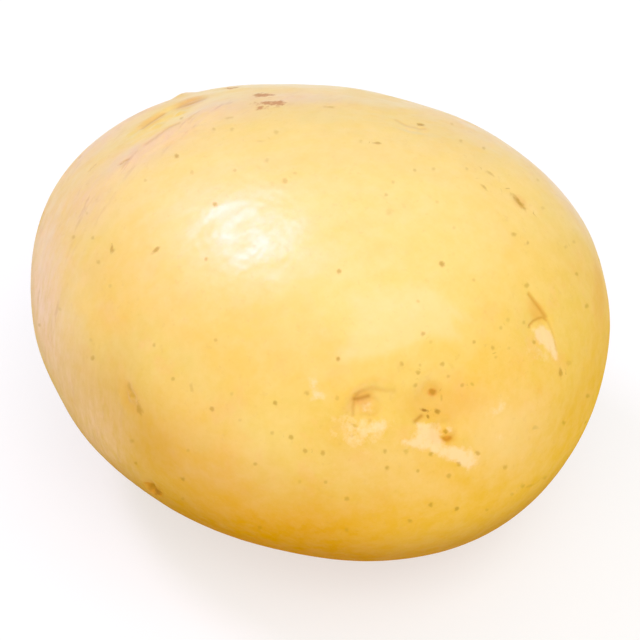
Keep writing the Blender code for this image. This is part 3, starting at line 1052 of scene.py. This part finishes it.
def build_skin(cad_box):
    """The skin in the part's own frame, and where that frame's origin lies in the body's."""
    specks = all_specks()
    shape = fine_sphere()
    to_origin = part_origin(shape)
    refine_skin(shape, specks)
    points, outward = smooth_body(corner_directions(shape))
    height = main_relief(points)
    line_height, line_brown = line_relief(points)
    marks = skin_marks(points, outward, points + outward * height[:, None], specks, line_brown)
    height += line_height + fine_relief(points, marks)
    points = points + outward * height[:, None] - to_origin
    points[:, 2] = np.maximum(points[:, 2], 0.0)
    for vertex, point in zip(shape.verts, fit_to_box(points, cad_box)):
        vertex.co = point
    mesh = bpy.data.meshes.new("skin")
    shape.to_mesh(mesh)
    shape.free()
    mesh.shade_smooth()
    for name, values in marks.items():
        add_attribute(mesh, name, values)
    return add_object("skin", mesh), to_origin


class Nodes:
    """Short calls for adding and joining a material's nodes."""

    def __init__(self, material):
        material.use_nodes = True
        self.tree = material.node_tree
        self.surface = self.tree.nodes["Principled BSDF"].inputs

    def add(self, kind, inputs=None, **settings):
        node = self.tree.nodes.new(kind)
        for name, value in settings.items():
            setattr(node, name, value)
        for name, value in (inputs or {}).items():
            self.feed(node.inputs[name], value)
        return node

    def feed(self, socket, value):
        if isinstance(value, bpy.types.NodeSocket):
            self.tree.links.new(value, socket)
        else:
            socket.default_value = value

    def set_all(self, values):
        """Sets the shader's own sockets to even values."""
        for name, value in values.items():
            self.feed(self.surface[name], value)

    def math(self, operation, first, second=0.0):
        node = self.add("ShaderNodeMath", operation=operation)
        self.feed(node.inputs[0], first)
        self.feed(node.inputs[1], second)
        return node.outputs[0]

    def plus(self, first, second):
        return self.math("ADD", first, second)

    def times(self, first, second):
        return self.math("MULTIPLY", first, second)

    def place(self):
        return self.add("ShaderNodeTexCoord").outputs["Object"]

    def mark(self, name):
        """How strongly the mark of that name covers the skin."""
        return self.add("ShaderNodeAttribute", attribute_name=name).outputs["Fac"]

    def parts(self, vector):
        return self.add("ShaderNodeSeparateXYZ", {"Vector": vector}).outputs

    def noise(self, grain, turn=(0.0, 0.0, 0.0)):
        place = self.place()
        if grain.stretch:
            inputs = {"Vector": place, "Scale": grain.stretch, "Rotation": turn}
            place = self.add("ShaderNodeMapping", inputs, vector_type="TEXTURE").outputs[0]
        inputs = {"Vector": place, "Scale": 1 / grain.size}
        inputs.update(Detail=grain.detail, Roughness=grain.roughness)
        return self.add("ShaderNodeTexNoise", inputs).outputs["Fac"]

    def ramp(self, value, low, high, to_low=0.0, to_high=1.0):
        """A soft step from to_low to to_high, as the value goes from low to high."""
        inputs = {"Value": value, "From Min": low, "From Max": high, "To Min": to_low, "To Max": to_high}
        return self.add("ShaderNodeMapRange", inputs, interpolation_type="SMOOTHSTEP").outputs[0]

    def grain(self, grain, to_low=0.0, to_high=1.0, turn=(0.0, 0.0, 0.0)):
        return self.ramp(self.noise(grain, turn), grain.low, grain.high, to_low, to_high)

    def frayed(self, name, grain, swing, span):
        """A mark whose edge is broken up by a grain."""
        return self.ramp(self.plus(self.mark(name), self.grain(grain, -swing, swing)), *span)

    def mix(self, share, first, second):
        node = self.add("ShaderNodeMix", {"Factor": share}, data_type="RGBA")
        self.feed(node.inputs[MIX_FIRST], first)
        self.feed(node.inputs[MIX_SECOND], second)
        return node.outputs[MIX_RESULT]

    def cover(self, tone, cover, paint):
        """The tone under a paint that covers it in places."""
        return self.mix(self.times(cover, paint.share), tone, paint.colour)


def wrinkle_turn():
    """The turn from the x axis to the wrinkles' own way."""
    return Vector((1.0, 0.0, 0.0)).rotation_difference(Vector(wrinkle_way())).to_euler()


def ground_tone(nodes, along, up, height):
    """The plain skin: yellow in soft patches, with painted shade that makes it deeper and browner low down,
    and painted light that makes it creamier at the top.
    """
    tone = nodes.cover(YELLOW, nodes.grain(WARM_GRAIN), WARM)
    tone = nodes.cover(tone, nodes.grain(LEMON_GRAIN), LEMON)
    tone = nodes.cover(tone, nodes.grain(ROSY_GRAIN), ROSY)
    # Painted shade: the lower part of the skin deeper and more orange
    shaded_low_tone = nodes.cover(SHADED_LOW_TAN, nodes.ramp(along, *SHADED_ORANGE_SPAN), SHADED_LOW_ORANGE)
    shaded_low_tone = nodes.cover(shaded_low_tone, nodes.ramp(along, *SHADED_YELLOW_SPAN), SHADED_LOW_YELLOW)
    low_shade_height = nodes.plus(height, nodes.ramp(along, *LOW_SHADE_SHIFT_SPAN, -LOW_SHADE_SHIFT, 0.0))
    tone = nodes.mix(nodes.times(nodes.ramp(low_shade_height, *LOW_SHADE_SPAN), LOW_SHADE_SHARE), tone, shaded_low_tone)
    # Painted shade under the belly
    tone = nodes.cover(tone, nodes.ramp(up, *UNDER_SHADE_SPAN), UNDER_SHADE_BROWN)
    # Painted light on the top
    return nodes.cover(tone, nodes.ramp(height, *TOP_LIGHT_SPAN), TOP_LIGHT_CREAM)


def stem_sheen_and_scurf(nodes, tone):
    """Streaky painted rim sheen with a little scurf, and the painted light of the trough's lit wall near the
    stem end.
    """
    rim_sheen = nodes.mark("rim_sheen")
    streaks = nodes.grain(STREAK_GRAIN, STREAK_LEAST, 1.0)
    # Painted sheen along the rims, in streaks
    tone = nodes.cover(tone, nodes.times(rim_sheen, streaks), PAINTED_RIM_SHEEN)
    # Painted light on the trough's lit wall
    tone = nodes.cover(tone, nodes.mark("lit_trough"), LIT_TROUGH_YELLOW)
    return nodes.cover(tone, nodes.times(rim_sheen, nodes.grain(SCURF_GRAIN)), SCURF_BROWN)


def mottled(nodes, tone):
    mottle = nodes.grain(MOTTLE_GRAIN, -MOTTLE_SWING, MOTTLE_SWING)
    inputs = {
        "Saturation": nodes.math("SUBTRACT", 1.0, mottle),
        "Value": nodes.plus(1.0, nodes.times(mottle, MOTTLE_VALUE_SHARE)),
        "Color": tone,
    }
    return nodes.add("ShaderNodeHueSaturation", inputs).outputs[0]


def speck_marks(nodes):
    """How far the skin lies in a lenticel, and in the dark pit of a strong one."""
    vector = nodes.add("ShaderNodeAttribute", attribute_name="speck").outputs["Vector"]
    u, v, strength = nodes.parts(vector)
    reach = nodes.math("SQRT", nodes.plus(nodes.times(u, u), nodes.times(v, v)))
    uneven = nodes.grain(SPECK_GRAIN, -SPECK_SWING, SPECK_SWING)
    spot = nodes.ramp(nodes.plus(reach, uneven), *SPECK_SPAN)
    pit = nodes.times(spot, nodes.ramp(strength, *PIT_SPAN))
    return nodes.times(spot, nodes.math("MINIMUM", strength, 1.0)), pit


def add_gloss(nodes, along, height, matt):
    """A waxy coat in patches, duller low down and at both ends, and nearly none on lenticels and scuffs."""
    shine = nodes.math("POWER", nodes.ramp(height, *SHINE_SPAN), SHINE_POWER)
    shine = nodes.times(shine, nodes.ramp(along, *ROSE_SHINE_SPAN, ROSE_SHINE, 1.0))
    shine = nodes.times(shine, nodes.ramp(along, *STEM_SHINE_SPAN, STEM_SHINE, 1.0))
    nodes.feed(nodes.surface["Specular IOR Level"], nodes.times(SPECULAR_LEVEL, shine))
    roughness = nodes.grain(ROUGH_GRAIN, LEAST_ROUGH, MOST_ROUGH)
    nodes.feed(nodes.surface["Roughness"], nodes.plus(roughness, nodes.times(matt, MATT_ROUGHNESS)))
    coat = nodes.grain(COAT_GRAIN, LEAST_COAT, 1.0, wrinkle_turn())
    coat = nodes.times(coat, nodes.math("SUBTRACT", 1.0, nodes.times(matt, MATT_SHARE)))
    nodes.feed(nodes.surface["Coat Weight"], nodes.times(coat, shine))


def skin_material():
    material = bpy.data.materials.new("potato_skin")
    nodes = Nodes(material)
    along, _, up = nodes.parts(nodes.place())
    height = nodes.plus(up, nodes.grain(HEIGHT_GRAIN, -HEIGHT_SWING, HEIGHT_SWING))
    cream_and_shine = nodes.frayed("cream_and_shine", CREAM_AND_SHINE_GRAIN, CREAM_AND_SHINE_SWING, CREAM_AND_SHINE_SPAN)
    pale_glint = nodes.frayed("pale_glint", GLINT_GRAIN, GLINT_SWING, GLINT_SPAN)
    scuff = nodes.frayed("scuff", SCUFF_GRAIN, SCUFF_SWING, SCUFF_SPAN)
    spot, pit = speck_marks(nodes)
    tone = mottled(nodes, stem_sheen_and_scurf(nodes, ground_tone(nodes, along, up, height)))
    # Painted highlight above the eyes, and paler cream ground below them
    tone = nodes.cover(tone, cream_and_shine, CREAM_AND_SHINE)
    # Stains round buds, with painted shade in the hollows and along the right rim
    tone = nodes.cover(tone, nodes.mark("stain_and_shade"), STAIN_AND_SHADE_ORANGE)
    # Painted highlights on the walls of the eyes' hollows
    tone = nodes.cover(tone, pale_glint, PAINTED_GLINT)
    tone = nodes.cover(tone, scuff, SCUFF_BROWN)
    tone = nodes.cover(tone, nodes.mark("brown"), LINE_BROWN)
    tone = nodes.cover(tone, spot, SPECK_BROWN)
    tone = nodes.cover(tone, pit, PIT_BROWN)
    nodes.feed(nodes.surface["Base Color"], tone)
    add_gloss(nodes, along, height, nodes.math("MAXIMUM", spot, scuff))
    inputs = {"Height": nodes.noise(BUMP_GRAIN), "Strength": BUMP_STRENGTH, "Distance": BUMP_HEIGHT}
    nodes.feed(nodes.surface["Normal"], nodes.add("ShaderNodeBump", inputs).outputs[0])
    nodes.set_all(EVEN_SKIN)
    return material


def floor_material():
    material = bpy.data.materials.new("pale_floor")
    Nodes(material).set_all(EVEN_FLOOR)
    return material


def add_floor():
    mesh = bpy.data.meshes.new("floor")
    half = FLOOR_SIDE / 2
    corners = [(x, y, -FLOOR_DROP) for x, y in ((-half, -half), (half, -half), (half, half), (-half, half))]
    mesh.from_pydata(corners, [], [(0, 1, 2, 3)])
    mesh.materials.append(floor_material())
    floor = add_object("floor", mesh)


def aim(thing, at):
    thing.rotation_euler = (Vector(at) - thing.location).to_track_quat("-Z", "Y").to_euler()


def add_lamp(lamp, middle):
    light = bpy.data.lights.new(lamp.name, "AREA")
    light.shape = "RECTANGLE"
    light.size = lamp.width
    light.size_y = lamp.height
    light.energy = lamp.power
    light.color = lamp.colour
    stand = add_object(lamp.name, light)
    way = mirror_way(*lamp.place) if len(lamp.place) == 2 else lamp.place
    stand.location = Vector(middle + unit(np.array(way)) * lamp.distance)
    stand.visible_glossy = lamp.unseen != "glossy"
    stand.visible_diffuse = lamp.unseen != "diffuse"
    aim(stand, middle)


def mirror_way(x, y):
    """The way to a light that the body mirrors at a pixel."""
    point, outward = camera_view.cast(x, y)
    to_camera = unit(camera_view.place - point)
    return 2 * (outward @ to_camera) * outward - to_camera


def add_camera(to_origin):
    data = bpy.data.cameras.new("photo_camera")
    data.lens = LENS
    data.sensor_width = SENSOR
    data.clip_start = NEAR_CLIP
    camera = add_object("photo_camera", data)
    camera.location = Vector(camera_view.place - to_origin)
    aim(camera, camera_view.place - camera_view.back * CAMERA_DISTANCE - to_origin)
    bpy.context.scene.camera = camera


def add_studio():
    middle = np.array([0.0, 0.0, THICKNESS / 2])
    for lamp in LAMPS:
        add_lamp(lamp, middle)
    world = bpy.data.worlds.new("studio")
    bpy.context.scene.world = world
    world.use_nodes = True
    background = world.node_tree.nodes["Background"].inputs
    background["Color"].default_value = (1.0, 1.0, 1.0, 1.0)
    background["Strength"].default_value = WORLD_STRENGTH
    bpy.context.scene.view_settings.view_transform = "Standard"


def main():
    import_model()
    cad_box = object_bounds()
    skin, to_origin = build_skin(cad_box)
    skin.data.materials.append(skin_material())
    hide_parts("potato")
    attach(skin, "root")
    add_floor()
    add_studio()
    add_camera(to_origin)
    bpy.context.view_layer.update()


main()
